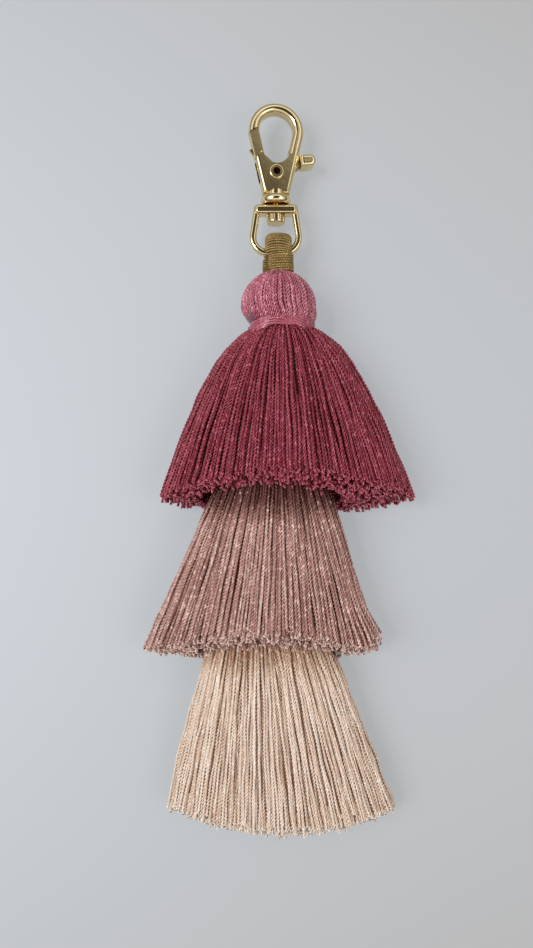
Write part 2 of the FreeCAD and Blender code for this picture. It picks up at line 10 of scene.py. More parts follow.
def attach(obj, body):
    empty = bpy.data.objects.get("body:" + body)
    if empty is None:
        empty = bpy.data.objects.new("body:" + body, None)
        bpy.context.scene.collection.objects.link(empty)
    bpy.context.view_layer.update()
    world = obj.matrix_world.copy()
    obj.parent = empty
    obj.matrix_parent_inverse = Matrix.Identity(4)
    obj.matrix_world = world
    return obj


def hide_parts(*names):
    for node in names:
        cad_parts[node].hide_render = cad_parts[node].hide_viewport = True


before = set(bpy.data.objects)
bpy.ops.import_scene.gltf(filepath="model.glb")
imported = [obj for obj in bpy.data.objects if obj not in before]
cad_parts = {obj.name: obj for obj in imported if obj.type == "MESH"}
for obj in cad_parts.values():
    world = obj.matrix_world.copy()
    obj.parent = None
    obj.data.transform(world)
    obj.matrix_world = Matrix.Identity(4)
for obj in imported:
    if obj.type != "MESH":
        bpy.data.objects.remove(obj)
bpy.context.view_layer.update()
MM = 0.001

# ---- sizes, in millimetres ----
METAL_Z = 6.0                # middle height of the fittings and the loop
SQUARENESS = 0.85            # power of a tier's section, where 1 is an ellipse
THREAD_PITCH = 1.75          # one full turn of the two plies
THREAD_HALF = 0.38           # half of a thread's width
TIP_HIGHLIGHT = 0.9               # painted highlight: how much lighter a thread's cut end is, on the scale of each thread's own lightness
TABLE_CLEAR = 0.45           # lowest that the middle of a thread may lie
TOP_STEP = 0.93              # how far a slanting thread gets along the keychain for each step of its length
# steps between the points of a thread: where it is seen, in the layer below, at the back, and where hidden
RING_GAP, UNDER_GAP, BACK_GAP, HIDDEN_GAP = 0.28, 0.44, 0.55, 1.0
# spacing of the threads round a skirt and of the cut ends in its rim
FRONT_SPACING, UNDER_SPACING, END_SPACING = 0.81, 0.82, 0.73
PACKED_ROW = 0.87            # row spacing of packed threads, for a spacing of 1
SWAY_ROOM = 0.07             # side room for the next tier's sway, for each mm from its head
FILLER_SWAY_ROOM = 0.09      # the same in the filler, which leaves a little more
RIM_BACK = 3.0               # how far the filler stays behind the rim
ALL_SEEN = 1000.0            # a y above every tier, for threads that are seen all along
# sections of a twisted thread: two round plies side by side
FRONT_PLIES = ((0.36, 0.0), (0.26, 0.2), (0.0, 0.15), (-0.26, 0.2),
               (-0.36, 0.0), (-0.26, -0.2), (0.0, -0.15), (0.26, -0.2))
BACK_PLIES = ((0.36, 0.17), (0.0, 0.1), (-0.36, 0.17), (-0.36, -0.17), (0.0, -0.1), (0.36, -0.17))
GOLD_PLIES = ((0.31, 0.0), (0.2, 0.2), (0.0, 0.17), (-0.2, 0.2),
              (-0.31, 0.0), (-0.2, -0.2), (0.0, -0.17), (0.2, -0.2))


def squared(value, power):
    """A sine or cosine raised to a power, with its sign kept, which squares up a round section."""
    return math.copysign(abs(value) ** power, value)


class Tier:
    """One tier of the tassel: how wide, how high and how it is cut.

    heights gives the lowest and highest skin at some y. lean is the slope of the cut in degrees, brow how
    far the cut rounds over at the top skin, drum the radius of the rim's bow seen from above, and a pair
    gives the painted shade under the rim above: how much it darkens the threads, and down from where."""

    def __init__(self, name, body, neck, half, centre, rim, spread, heights,
                 lean, brow, drum, dusk, seed):
        self.name, self.body, self.seed = name, body, seed
        self.head_top, self.wrap_top, self.neck_y = neck
        self.neck_half, self.rim_half = half
        self.neck_x, self.rim_x = centre
        self.rim_y, self.spread = rim, spread
        self.heights = heights
        self.curl = 1.0 if brow else 0.25    # how much the cut ends turn up
        self.dusk, self.dusk_y = dusk
        self.lean, self.brow, self.drum = math.tan(math.radians(lean)), brow, drum

    def share(self, y):
        return max(0.0, (self.neck_y - y) / (self.neck_y - self.rim_y))

    def half_width(self, y):
        return self.neck_half + (self.rim_half - self.neck_half) * self.share(y) ** self.spread

    def centre_x(self, y):
        return self.neck_x + (self.rim_x - self.neck_x) * self.share(y)

    def low_high(self, y):
        for (y0, low0, high0), (y1, low1, high1) in zip(self.heights, self.heights[1:]):
            if y >= y1:
                t = max(0.0, (y0 - y) / (y0 - y1))
                return low0 + (low1 - low0) * t, high0 + (high1 - high0) * t
        return self.heights[-1][1:]

    def at(self, u, v, y, inset=0.0):
        """The point of the section at y, where (u, v) runs to 1 at the tier's skin."""
        low, high = self.low_high(y)
        mid, tall = (low + high) / 2, (high - low) / 2
        wide = self.half_width(y)
        return Vector((self.centre_x(y) + u * (wide - inset), y, mid + v * (tall - inset)))

    def cut_y(self, x, z):
        """Where the slanting cut of the rim is, which rounds over towards the top skin."""
        off = min(abs(x - self.rim_x), self.drum * 0.9)
        high = self.low_high(self.rim_y + 8)[1]
        over = self.brow * max(0.0, z / high) ** 10
        return self.rim_y + z * self.lean + over + self.drum - math.sqrt(self.drum ** 2 - off ** 2)

    def around(self, turn):
        across, up = math.cos(turn), math.sin(turn)
        return squared(across, SQUARENESS), squared(up, SQUARENESS)


UPPER = Tier("upper", "tassel", (50.3, 38.9, 35.3), (7.6, 32.4), (1.2, 2.1), -9.9, 0.6,
             ((35.3, 1.6, 16.0), (29.0, 0.4, 17.0), (20.0, 0.0, 17.9), (8.0, 0.0, 18.7),
              (-12.0, 0.0, 19.2)),
             19.3, 6.6, 330.0, (0.0, 30.0), 11)
MIDDLE = Tier("middle", "middle_tier", (20.0, 17.0, 14.6), (6.2, 30.5), (-0.8, -4.4), -46.8, 0.93,
              ((14.6, 4.6, 13.4), (5.0, 3.5, 14.9), (-4.0, 3.2, 15.7), (-11.0, 3.2, 16.1),
               (-23.0, 0.0, 16.4), (-50.0, 0.0, 16.2)),
              19.0, 6.0, 240.0, (1.8, -1.0), 23)
LOWER = Tier("lower", "lower_tier", (-12.6, -15.2, -17.2), (5.6, 30.8), (-3.9, 1.4), -91.7, 0.87,
             ((-17.2, 6.3, 12.7), (-30.0, 3.6, 13.1), (-41.0, 3.1, 13.2), (-49.0, 3.0, 13.2),
              (-61.0, 0.0, 13.2), (-80.0, 0.0, 12.9), (-96.0, 0.0, 12.4)),
             29.0, 0.0, 62.0, (1.15, -39.0), 37)


# ---- materials ----
class Socket:
    """An output of a material's node tree; sums on it add Math nodes."""

    def __init__(self, finish, out):
        self.finish, self.out = finish, out

    def math(self, operation, *values):
        inputs = dict(enumerate(values))
        return self.finish.node("ShaderNodeMath", {"operation": operation}, inputs)

    def __add__(self, other):
        return self.math("ADD", self, other)

    def __sub__(self, other):
        return self.math("SUBTRACT", self, other)

    def __rsub__(self, other):
        return self.math("SUBTRACT", other, self)

    def __mul__(self, other):
        return self.math("MULTIPLY", self, other)

    def __pow__(self, other):
        return self.math("POWER", self, other)

    __radd__ = __add__
    __rmul__ = __mul__


class Finish:
    """A node material, or the world, while it is being made."""

    def __init__(self, tree):
        self.tree = tree
        tree.nodes.clear()

    def node(self, kind, settings=None, inputs=None, output=0):
        node = self.tree.nodes.new(kind)
        for key, value in (settings or {}).items():
            if key == "stops":
                self.set_stops(node.color_ramp.elements, value)
            else:
                setattr(node, key, value)
        for key, value in (inputs or {}).items():
            if isinstance(value, Socket):
                self.tree.links.new(value.out, node.inputs[key])
            else:
                node.inputs[key].default_value = value
        return Socket(self, node.outputs[output]) if node.outputs else node

    def set_stops(self, elements, stops):
        while len(elements) > 1:
            elements.remove(elements[-1])
        elements[0].position, elements[0].color = stops[0][0], stops[0][1] + (1.0,)
        for place, colour in stops[1:]:
            elements.new(place).color = colour + (1.0,)

    def mix(self, factor, first, second, blend="MIX"):
        settings = {"data_type": "RGBA", "blend_type": blend}
        return self.node("ShaderNodeMix", settings, {0: factor, 6: first, 7: second}, 2)

    def noise(self, where, scale, detail=2.0, roughness=0.5):
        inputs = {"Vector": where, "Scale": scale, "Detail": detail, "Roughness": roughness}
        return self.node("ShaderNodeTexNoise", None, inputs)

    def stretched(self, scale):
        """Object coordinates stretched by scale, so that a pattern runs long one way."""
        place = self.node("ShaderNodeTexCoord", None, None, "Object")
        return self.node("ShaderNodeMapping", None, {"Vector": place, "Scale": scale})

    def bump(self, height, distance, strength=1.0):
        inputs = {"Height": height, "Distance": distance, "Strength": strength}
        return self.node("ShaderNodeBump", None, inputs)

    def surface(self, **inputs):
        named = {key.replace("_", " "): value for key, value in inputs.items()}
        shader = self.node("ShaderNodeBsdfPrincipled", None, named)
        self.node("ShaderNodeOutputMaterial", None, {"Surface": shader})


def new_finish(name):
    material = bpy.data.materials.new(name)
    material.use_nodes = True
    return material, Finish(material.node_tree)


def linear(red, green, blue):
    """A colour given as on a paint card, 0 to 255, as the shader needs it."""
    shares = [c / 255 for c in (red, green, blue)]
    return tuple(c / 12.92 if c <= 0.04 else ((c + 0.055) / 1.055) ** 2.4 for c in shares)


def thread_finish(name, deep, middle, light, sheen=0.1, roughness=0.27, shine=0.5):
    """Silky two-ply thread: each thread a little lighter or darker than the next, fine fibres along it,
    painted shade in the ply grooves, painted highlights on the crests and painted glints.
    """
    material, f = new_finish(name)
    # each thread's own lightness, less painted shade under the rim above, plus a painted highlight at its
    # cut end
    tone = f.node("ShaderNodeAttribute", {"attribute_name": "tone"}, None, "Fac")
    patch = f.noise(f.stretched((1.0, 0.35, 1.0)), 260.0, 2.0)
    fibre = f.noise(f.stretched((1.0, 0.5, 1.0)), 3200.0, 3.0, 0.6)
    # painted shade in the grooves between the plies and painted highlight on their crests
    crown = f.node("ShaderNodeAttribute", {"attribute_name": "crown"}, None, "Fac")
    # painted glints: rare light specks along the threads
    glint = f.noise(f.stretched((1.0, 0.6, 1.0)), 1500.0, 1.0) ** 7.0
    spread = tone * 0.36 + patch * 0.22 + fibre * 0.2 + (crown - 0.6) * 0.36 + glint * 4.0
    stops = [(0.12, linear(*deep)), (0.5, linear(*middle)), (0.82, linear(*light))]
    colour = f.node("ShaderNodeValToRGB", {"stops": stops}, {0: spread})
    f.surface(Base_Color=colour, Roughness=roughness - 0.1 + fibre * 0.2,
              Normal=f.bump(fibre, 0.00012, 0.5),
              Specular_IOR_Level=shine, Sheen_Weight=sheen, Sheen_Roughness=0.4,
              Sheen_Tint=linear(*light) + (1.0,))
    return material


def gold_finish():
    """Polished pale gold plating: even colour, faint haze and hairline handling marks."""
    material, f = new_finish("polished_gold")
    haze = f.noise(f.stretched((1.0, 1.0, 1.0)), 420.0, 3.0)
    marks = f.noise(f.stretched((5.0, 0.4, 1.0)), 900.0, 4.0, 0.7)
    colour = f.mix(haze, linear(238, 218, 172) + (1.0,), linear(224, 202, 152) + (1.0,))
    f.surface(Base_Color=colour, Metallic=1.0, Roughness=0.07 + haze * 0.08 + marks * 0.04,
              Normal=f.bump(haze * 0.6 + marks * 0.2, 0.00006, 0.35))
    return material


def gold_thread_finish():
    """Metallic gold thread: darker and browner than the fittings, with glints along each turn."""
    material, f = new_finish("gold_thread")
    fibre = f.noise(f.stretched((0.5, 1.0, 1.0)), 2600.0, 3.0, 0.6)
    patch = f.noise(f.stretched((1.0, 1.0, 1.0)), 500.0, 2.0)
    stops = [(0.25, linear(96, 74, 34)), (0.5, linear(160, 132, 74)), (0.78, linear(214, 190, 128))]
    colour = f.node("ShaderNodeValToRGB", {"stops": stops}, {0: fibre * 0.6 + patch * 0.4})
    f.surface(Base_Color=colour, Metallic=0.45, Roughness=0.36 + fibre * 0.15,
              Normal=f.bump(fibre, 0.0001, 0.5), Sheen_Weight=0.1)
    return material


def banded_finish(name, deep, light):
    """A dull finish with fine slanting bands, as on a braided cord."""
    material, f = new_finish(name)
    braid = f.node("ShaderNodeTexWave", {"wave_type": "BANDS", "bands_direction": "DIAGONAL"},
                   {"Vector": f.stretched((1.0, 1.0, 1.0)), "Scale": 260.0, "Distortion": 2.0})
    colour = f.mix(braid, linear(*deep) + (1.0,), linear(*light) + (1.0,))
    f.surface(Base_Color=colour, Roughness=0.7 + braid * 0.1, Normal=f.bump(braid, 0.0002, 0.6),
              Sheen_Weight=0.2)
    return material


def bead_finish():
    """Pale turned wood."""
    material, f = new_finish("turned_wood")
    grain = f.noise(f.stretched((1.0, 0.12, 1.0)), 900.0, 4.0, 0.6)
    colour = f.mix(grain, linear(196, 160, 116) + (1.0,), linear(226, 196, 152) + (1.0,))
    f.surface(Base_Color=colour, Roughness=0.5 + grain * 0.2, Normal=f.bump(grain, 0.0001, 0.4))
    return material


def table_finish():
    """Pale table top with painted light: it glows a little, which lightens the shadows on it, and is cooler
    and lighter to the left, warmer and darker to the right and far up or down.
    """
    material, f = new_finish("pale_table")
    place = f.stretched((1.0, 1.0, 1.0))
    across = f.node("ShaderNodeSeparateXYZ", None, {0: place}, "X")
    along = f.node("ShaderNodeSeparateXYZ", None, {0: place}, "Y")
    # painted light fall-off: cooler and lighter to the left and near the middle, warmer and darker away from
    # there
    far = across * 3.0 + along * along * 26.0 + f.noise(place, 7.0) * 0.15
    cool, warm = linear(203, 210, 216), linear(184, 183, 183)
    mixes = []
    # the first share is the table's colour, the second its glow, painted light that lightens the shadows on
    # it
    for part in (0.41, 0.555):
        shades = [tuple(c * part for c in colour) + (1.0,) for colour in (cool, warm)]
        mixes.append(f.mix(far + 0.27, *shades))
    f.surface(Base_Color=mixes[0], Roughness=0.6, Emission_Color=mixes[1], Emission_Strength=1.0)
    return material


GOLD = gold_finish()
GOLD_THREAD = gold_thread_finish()
INNER_CORD = banded_finish("inner_cord", (150, 70, 84), (196, 120, 130))
WOOD = bead_finish()
RASPBERRY = thread_finish("raspberry_thread", (70, 2, 14), (142, 40, 56), (206, 108, 124),
                          0.02, 0.24, 0.4)
# deep is the dark brown of low tones, ply grooves and the painted shade under the upper tier's rim
DUSTY_ROSE = thread_finish("dusty_rose_thread", (96, 44, 36), (188, 138, 126), (250, 220, 208),
                           0.03, 0.24, 0.5)
CHAMPAGNE = thread_finish("champagne_thread", (178, 132, 102), (238, 212, 190), (254, 242, 230))
# the raspberry thread again, painted lighter and pinker: painted light on the ball, and used on the upper
# neck winding too
RASPBERRY_PAINTED_LIGHTER = thread_finish("ball_thread", (116, 40, 56), (180, 86, 104), (238, 158, 174),
                               0.1, 0.24, 0.8)
# painted shade: a dark brown finish for the foot of the rivet's bore, where the shade lies
RIVET_SHADE = banded_finish("dull_gold", (60, 34, 16), (84, 52, 28))
TIER_THREAD = {"upper": RASPBERRY, "middle": DUSTY_ROSE, "lower": CHAMPAGNE}


# ---- twisted threads ----
def ply_profile(outline, scale=1.0):
    """The section that a thread's line is swept with."""
    curve = bpy.data.curves.new("ply_section", "CURVE")
    curve.dimensions = "2D"
    spline = curve.splines.new("POLY")
    spline.points.add(len(outline) - 1)
    for point, (x, y) in zip(spline.points, outline):
        point.co = (x * scale * MM, y * scale * MM, 0.0, 1.0)
    spline.use_cyclic_u = True
    profile = bpy.data.objects.new("ply_section", curve)
    bpy.context.scene.collection.objects.link(profile)
    return profile


def walk(line, gap):
    """Points along a line of points, a set gap apart."""
    points = [line[0]]
    left = gap
    for a, b in zip(line, line[1:]):
        run = (b - a).length
        done = 0.0
        while run - done > left:
            done += left
            points.append(a.lerp(b, done / run))
            left = gap
        left -= run - done
    if (line[-1] - points[-1]).length > 0.02:
        points.append(line[-1])
    return points


def twist(name, lines, outline, material, rng, scale=1.0, pitch=THREAD_PITCH, shade=None):
    """Twisted threads along lines of points in millimetres, as one mesh piece.

    shade gives how much painted shade darkens the threads at a height along the keychain."""
    curve = bpy.data.curves.new(name, "CURVE")
    curve.dimensions = "3D"
    curve.bevel_mode = "OBJECT"
    profile = ply_profile(outline, scale)
    curve.bevel_object = profile
    curve.use_fill_caps = True
    round_points = len(outline)
    tones_and_painted_light, cap_tones_and_painted_light = [], []
    far = max(math.hypot(x, y) for x, y in outline)
    section = [math.hypot(x, y) / far for x, y in outline]
    for line in lines:
        spline = curve.splines.new("POLY")
        spline.points.add(len(line) - 1)
        phase = rng.uniform(0, math.pi)
        own_pitch = pitch * rng.uniform(0.94, 1.06)
        gone = 0.0
        places, tilts = [], []
        for here, after in zip(line, line[1:] + line[-1:]):
            places.extend((here.x * MM, here.y * MM, here.z * MM, 1.0))
            tilts.append(phase + 2 * math.pi * gone / own_pitch)
            gone += (after - here).length
        spline.points.foreach_set("co", places)
        spline.points.foreach_set("tilt", tilts)
        spline.use_smooth = True
        own_tone = min(1.0, max(0.0, rng.gauss(0.5, 0.17)))
        # painted shade under the rim of the tier above darkens the rings
        rings = [own_tone - (shade(point.y) if shade else 0.0) for point in line[:-1]]
        # the cut end gets a painted highlight
        rings.append(own_tone + TIP_HIGHLIGHT)
        for value in rings:
            tones_and_painted_light.extend([value] * round_points)
        cap_tones_and_painted_light = [rings[-1]] * round_points + [rings[0]] * round_points + cap_tones_and_painted_light
    holder = bpy.data.objects.new(name, curve)
    bpy.context.scene.collection.objects.link(holder)
    mesh = bpy.data.meshes.new_from_object(holder.evaluated_get(bpy.context.evaluated_depsgraph_get()))
    for gone_object in (holder, profile):
        bpy.data.objects.remove(gone_object)
    mesh.name = name
    # the mesh holds the end caps first, last thread to first, and then every thread's rings
    # how far each point lies out in the section, for the painted shade in the ply grooves and painted
    # highlight on the crests
    painted_ply_lights = section * (len(mesh.vertices) // round_points)
    for word, values in (("tone", cap_tones_and_painted_light + tones_and_painted_light), ("crown", painted_ply_lights)):
        mesh.attributes.new(word, "FLOAT", "POINT").data.foreach_set("value", values)
    mesh.materials.clear()
    mesh.materials.append(material)
    mesh.shade_smooth()
    piece = bpy.data.objects.new(name, mesh)
    bpy.context.scene.collection.objects.link(piece)
    return piece


def smooth_step(low, high, value):
    t = min(1.0, max(0.0, (value - low) / (high - low)))
    return t * t * (3 - 2 * t)


def even_turns(tier, first, last, gap):
    """Angles round a tier's rim that lie a set gap apart along its skin."""
    steps = 720
    turns, gone, last_point = [], 0.0, None
    y = tier.rim_y + 10
    for i in range(steps + 1):
        turn = first + (last - first) * i / steps
        u, v = tier.around(turn)
        point = tier.at(u, v, y)
        if last_point is not None:
            gone += (point - last_point).length
            if gone >= gap:
                turns.append(turn)
                gone -= gap
        last_point = point
    return turns


def skirt_line(tier, u, v, depth, surface_at, number, gap, hidden_y, rng, rough=1.0, end_slack=0.5):
    """One thread's line from the neck to the cut rim, wandering a little as it goes.

    It starts depth below the skin and comes up to it by the share surface_at of the way down. Every
    other thread stays a little lower, so that each one shows. Above hidden_y its points are far apart."""
    drift = rng.gauss(0.0, 0.22) * rough
    slack = rng.gauss(0.0, end_slack)
    seed = tier.seed + number * 5.17
    line = []
    y = tier.neck_y + 1.2
    while True:
        share = tier.share(y)
        sunk = depth * (1 - smooth_step(surface_at * 0.35, surface_at, share)) + 0.28 * (number % 2)
        point = tier.at(u, v, y, THREAD_HALF)
        below = tier.at(u, v, y, THREAD_HALF + sunk)
        point.x, point.z = 0.8 * point.x + 0.2 * below.x, below.z
        loose = smooth_step(0.0, 0.12, share)
        clump = 0.14 * noise.noise(Vector((point.x / 2.2, y / 24.0, tier.seed * 1.7)))
        own = 0.2 * noise.noise(Vector((seed, y / 7.5, 3.1)))
        lift = 0.3 * noise.noise(Vector((seed + 40.0, y / 10.0, 9.7)))
        point.x += loose * (rough * (clump + own) + drift * math.sin(3.0 * share + number))
        point.z = max(TABLE_CLEAR, point.z + loose * lift * rough * (1.0 if v > 0 else 0.4))
        stop = tier.cut_y(point.x, point.z) + slack
        if y <= stop:
            return line
        line.append(point)
        step = gap if y < hidden_y else HIDDEN_GAP
        y -= step * (TOP_STEP if share > 0 else 1.0)


def stray_lines(tier, rng):
    """A few threads that have sprung out sideways at the right corner of the rim."""
    lines = []
    for i in range(7):
        u, v = tier.around(math.radians(8 + 5 * i))
        start, long = tier.rim_y + 26.0, rng.uniform(17.0, 24.0)
        line = []
        for step in range(int(long / RING_GAP)):
            gone = step * RING_GAP
            out = smooth_step(4.0, 26.0, gone) * rng.uniform(0.99, 1.0) * (3.4 - 0.3 * i)
            point = tier.at(u, v, start - gone, 0.9 - out)
            point.y += 0.12 * out * out
            point.z = point.z + 0.4 * out
            line.append(point)
        lines.append(line)
    return lines


def skirt_ends(tier, inner, gap, rng):
    """Short lengths of the threads inside the skirt, which show as cut ends at the rim."""
    long, step_long, curl_long = 4.5, 0.5, 2.0
    tallest, widest, margin, jitter = 22, 70, 0.6, 0.22
    lines = []
    for row in range(int(tallest / (gap * PACKED_ROW))):
        z = margin + row * gap * PACKED_ROW
        low, high = tier.low_high(tier.rim_y + z * tier.lean)
        if z > high - margin:
            break
        for column in range(int(widest / gap)):
            x = tier.rim_x - widest / 2 + (column + 0.5 * (row % 2)) * gap + rng.uniform(-jitter, jitter)
            high_z = z + rng.uniform(-jitter, jitter)
            end = tier.cut_y(x, high_z) + rng.gauss(0.0, 0.55)
            u = (x - tier.centre_x(end)) / (tier.half_width(end) - 1.2)
            v = (high_z - (low + high) / 2) / ((high - low) / 2 - 0.7)
            if abs(u) ** 2.3 + abs(v) ** 2.3 > 1 or (inner and inside(inner, x, end, high_z)):
                continue
            bend = rng.gauss(0.0, 0.4), rng.uniform(0.3, 1.0) * tier.curl
            line = []
            for step in range(int(long / step_long)):
                y = end + long - step * step_long
                point = tier.at(u, v, y, 1.0)
                tip = smooth_step(curl_long, 0.0, y - end)
                point.x += bend[0] * tip * 2
                point.z = max(TABLE_CLEAR, point.z + bend[1] * tip * 2)
                point.y += 0.5 * bend[1] * tip
                line.append(point)
            lines.append(line)
    return lines


def inside(tier, x, y, z):
    """Whether a point is in the room that the next tier needs, with its swing to each side."""
    low, high = tier.low_high(y)
    u = (x - tier.centre_x(y)) / (tier.half_width(y) + 1.0 + SWAY_ROOM * (tier.head_top - y))
    v = (z - (low + high) / 2) / ((high - low) / 2 + 0.55)
    return abs(u) ** 2.35 + abs(v) ** 2.35 < 1


def oval_ring(bm, tier, cut_by, share, first_y, grow, sway=0.0, count=40):
    """A ring of edges round a tier's section, at a share of the way from first_y to just behind the cut."""
    ring = bmesh.ops.create_circle(bm, cap_ends=False, segments=count, radius=1.0)["verts"]
    for i, vert in enumerate(ring):
        u, v = tier.around(2 * math.pi * i / count)
        y = cut_by.rim_y + RIM_BACK
        for _ in range(3):
            end = tier.at(u, v, y, -grow)
            y = cut_by.cut_y(end.x, end.z) + RIM_BACK
        here = tier.at(u, v, first_y + (y - first_y) * share, -grow)
        here.x += sway * u * (tier.head_top - here.y)
        vert.co = here * MM
        vert.co.z = max(vert.co.z, 2 * TABLE_CLEAR * MM)
    edges = {edge for vert in ring for edge in vert.link_edges}
    return list(edges)


def filler(tier, inner, material):
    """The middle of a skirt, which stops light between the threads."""
    bm = bmesh.new()
    spans = 8
    rings = [oval_ring(bm, tier, tier, i / spans, tier.neck_y, -1.5) for i in range(spans + 1)]
    if inner:
        first = inner.neck_y + 4.0
        for i in range(spans + 1):
            rings.append(oval_ring(bm, inner, tier, 1 - i / spans, first, 1.1, FILLER_SWAY_ROOM))
    for first_ring, next_ring in zip(rings, rings[1:]):
        bmesh.ops.bridge_loops(bm, edges=first_ring + next_ring)
    bmesh.ops.holes_fill(bm, edges=[e for e in bm.edges if e.is_boundary], sides=0)
    bmesh.ops.recalc_face_normals(bm, faces=bm.faces)
    mesh = bpy.data.meshes.new(tier.name + "_filler")
    bm.to_mesh(mesh)
    bm.free()
    mesh.shade_smooth()
    mesh.materials.append(material)
    piece = bpy.data.objects.new(tier.name + "_filler", mesh)
    bpy.context.scene.collection.objects.link(piece)
    return piece


def place(piece, body, slot, *nodes):
    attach(piece, body)
    if nodes:
        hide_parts(*nodes)


SLOTS = {"upper": "raspberry_thread", "middle": "dusty_rose_thread", "lower": "champagne_thread"}


def dress_skirt(tier, inner, hidden_y, rough):
    """A tier's skirt: loose front threads, a layer under them, back threads and the cut ends."""
    rng = random.Random(tier.seed)
    material = TIER_THREAD[tier.name]
    node = tier.name + "_skirt"
    side = math.radians(14)

    # painted shade under the rim of the tier above: full down to a set height, then fading out over the next
    # 12 mm
    def shade(y):
        return tier.dusk * smooth_step(tier.dusk_y - 12.0, tier.dusk_y, y)

    # four ranks of front threads: how deep they start, and by which share of the way they surface
    ranks = (0.0, 2.2, 0.9, 2.9)
    surface = (0.05, 0.4, 0.16, 0.6)
    front = []
    for i, turn in enumerate(even_turns(tier, -side, math.pi + side, FRONT_SPACING)):
        u, v = tier.around(turn)
        rank = (i + rng.choice((0, 0, 0, 1))) % 4
        front.append(skirt_line(tier, u, v, ranks[rank] * rng.uniform(0.8, 1.1),
                                surface[rank] * rng.uniform(0.8, 1.3), i, RING_GAP, hidden_y, rng, rough,
                                0.5 if tier is not LOWER else 0.8))
    third = len(front) // 3 + 1
    parts = front[:third], front[third:2 * third], front[2 * third:]
    for word, lines in zip(("right", "middle", "left"), parts):
        piece = twist(f"{tier.name}_skirt_front_{word}", lines, FRONT_PLIES, material, rng, shade=shade)
        place(piece, tier.body, SLOTS[tier.name], node)
    under = []
    for i, turn in enumerate(even_turns(tier, -side, math.pi + side, UNDER_SPACING)):
        u, v = tier.around(turn)
        under.append(skirt_line(tier, u, v, 0.7, 3.0, i + 300, UNDER_GAP, hidden_y, rng, rough * 1.3, 0.6))
    piece = twist(f"{tier.name}_skirt_under", under, BACK_PLIES, material, rng, shade=shade)
    place(piece, tier.body, SLOTS[tier.name], node)
    back = []
    for i, turn in enumerate(even_turns(tier, math.pi + side, 2 * math.pi - side, UNDER_SPACING)):
        u, v = tier.around(turn)
        depth = (i % 3) * 0.8
        back.append(skirt_line(tier, u, v, depth, 0.4, i + 600, BACK_GAP, ALL_SEEN, rng, rough * 0.6))
    piece = twist(f"{tier.name}_skirt_back", back, BACK_PLIES, material, rng)
    place(piece, tier.body, SLOTS[tier.name], node)
    if tier is MIDDLE:
        place(twist("middle_skirt_strays", stray_lines(tier, rng), FRONT_PLIES, material, rng), tier.body,
              SLOTS[tier.name], node)
    ends = skirt_ends(tier, inner, END_SPACING, rng)
    piece = twist(f"{tier.name}_skirt_ends", ends, BACK_PLIES, material, rng)
    place(piece, tier.body, SLOTS[tier.name], node)
    place(filler(tier, inner, material), tier.body, SLOTS[tier.name], node)


def wind_neck(tier, turns, arch, wide, material):
    """Thread wound round a tier's neck, a little higher in the middle than at the sides.

    arch is how much lower the sides lie, and wide how far the winding stands out, but for its right side."""
    rng = random.Random(tier.seed + 5)
    pitch = (tier.wrap_top - tier.neck_y) / turns
    line = []
    steps = 90
    for i in range(int(turns * steps) + 1):
        turn = 2 * math.pi * i / steps + math.pi
        u, v = tier.around(turn)
        point = tier.at(u, v, tier.neck_y, 0.35 - wide)
        point.x -= wide
        sag = arch * u * u * (1.25 - 0.35 * u)
        point.y = tier.wrap_top - 0.45 - (pitch - 0.9 / turns) * i / steps - sag
        point.y += 0.1 * noise.noise(Vector((i / 9.0, tier.seed, 0)))
        line.append(point)
    thick, pitch = 1.35, 11.0
    line = walk(line, RING_GAP)
    piece = twist(f"{tier.name}_neck_winding", [line], FRONT_PLIES, material, rng, thick, pitch)
    place(piece, tier.body, SLOTS[tier.name], tier.name + "_neck_wrap")


# ---- the ball at the top ----
BALL_Z = 9.1
HEAD_SIDE = ((1.9, 49.4), (2.8, 49.2), (5.4, 48.1), (7.6, 45.9), (8.9, 43.3), (9.2, 41.0), (9.0, 39.3),
             (8.3, 37.9), (7.3, 36.8))


def rounded(points, count):
    """Points on a smooth line through the given ones."""
    line = []
    padded = (points[0],) + tuple(points) + (points[-1],)
    for a, b, c, d in zip(padded, padded[1:], padded[2:], padded[3:]):
        for i in range(count):
            t = i / count
            line.append(tuple(0.5 * (2 * q + (r - p) * t + (2 * p - 5 * q + 4 * r - s) * t * t
                                     + (3 * q - p - 3 * r + s) * t ** 3) for p, q, r, s in zip(a, b, c, d)))
    line.append(points[-1])
    return line


